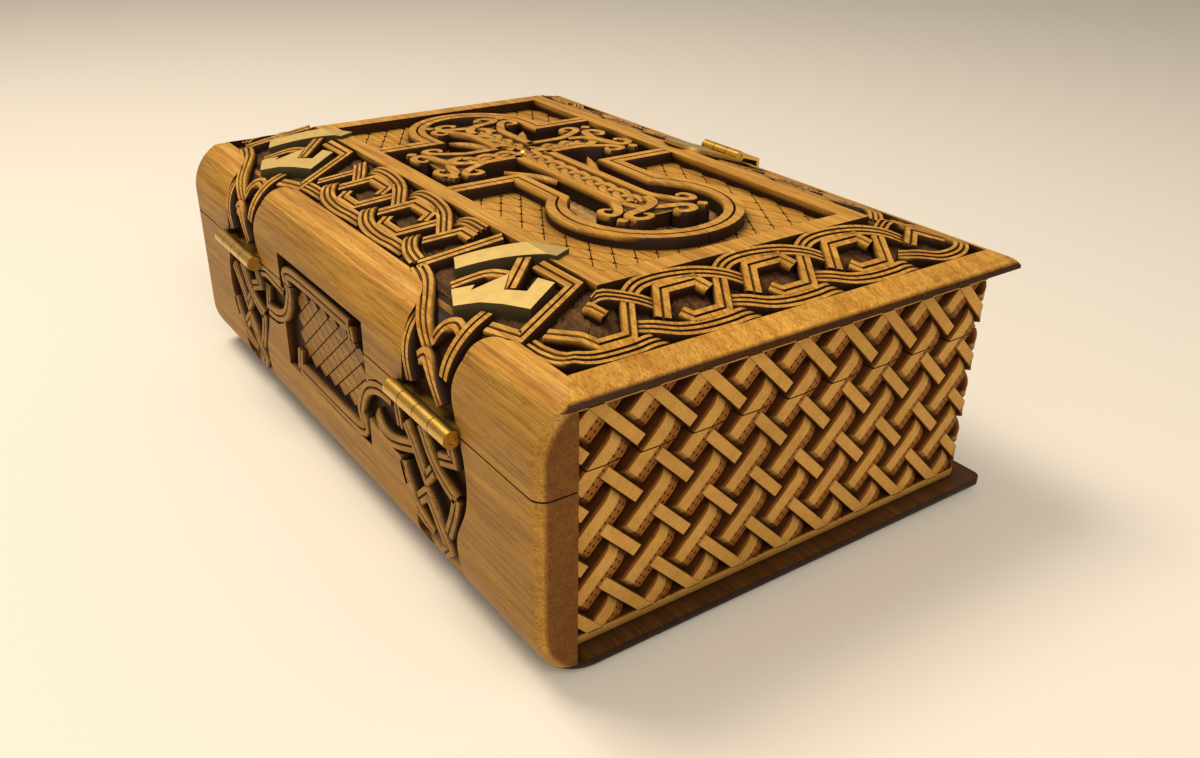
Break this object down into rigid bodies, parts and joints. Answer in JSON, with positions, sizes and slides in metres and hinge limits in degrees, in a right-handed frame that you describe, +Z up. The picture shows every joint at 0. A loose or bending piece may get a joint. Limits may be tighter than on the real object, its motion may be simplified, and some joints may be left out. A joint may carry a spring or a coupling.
{
  "type": "carved wooden book box",
  "caption": "Wooden box shaped like a closed book, with a carved cross and interlace on its cover, basket-weave page edges, brass hinges on the spine and a brass clasp.",
  "frame": {"origin": "middle of the footprint, on the surface the back cover rests on", "axes": "+X from the spine to the fore edge, +Y from the tail to the head, +Z up"},
  "size_m": [0.1794, 0.25, 0.0919],
  "materials": {
    "cover_wood": "satin varnish",
    "spine_wood": "satin varnish",
    "block_wood": "satin",
    "brass": "worn polish"
  },
  "bodies": {
    "base": {"back_board": "cover_wood", "spine_lower": "spine_wood", "tail_wall_lower": "block_wood", "head_wall_lower": "block_wood", "fore_edge_wall_lower": "block_wood", "tail_hinge_leaf_lower": "brass", "head_hinge_leaf_lower": "brass", "tail_hinge_pin": "brass", "head_hinge_pin": "brass", "hinge_screws_lower": "brass", "clasp_stud": "brass"},
    "lid": {"front_board": "cover_wood", "spine_upper": "spine_wood", "tail_wall_upper": "block_wood", "head_wall_upper": "block_wood", "fore_edge_wall_upper": "block_wood", "tail_hinge_leaf_upper": "brass", "head_hinge_leaf_upper": "brass", "hinge_screws_upper": "brass", "tail_arc_inlay": "brass", "tail_zigzag_inlay": "brass", "head_arc_inlay": "brass", "head_zigzag_inlay": "brass", "cross_stud": "brass", "clasp_leaf": "brass", "clasp_pin": "brass", "clasp_screws": "brass"},
    "clasp": {"clasp_hasp": "brass"}
  },
  "joints": [
    {"name": "lid_hinge", "type": "hinge", "parent": "base", "child": "lid", "pos_m": [-0.0872, 0, 0.0565], "axis": [0, -1, 0], "range_deg": [0, 110]},
    {"name": "clasp_hinge", "type": "hinge", "parent": "lid", "child": "clasp", "pos_m": [0.07443, 0, 0.08496], "axis": [0, -1, 0], "range_deg": [0, 140]}
  ]
}
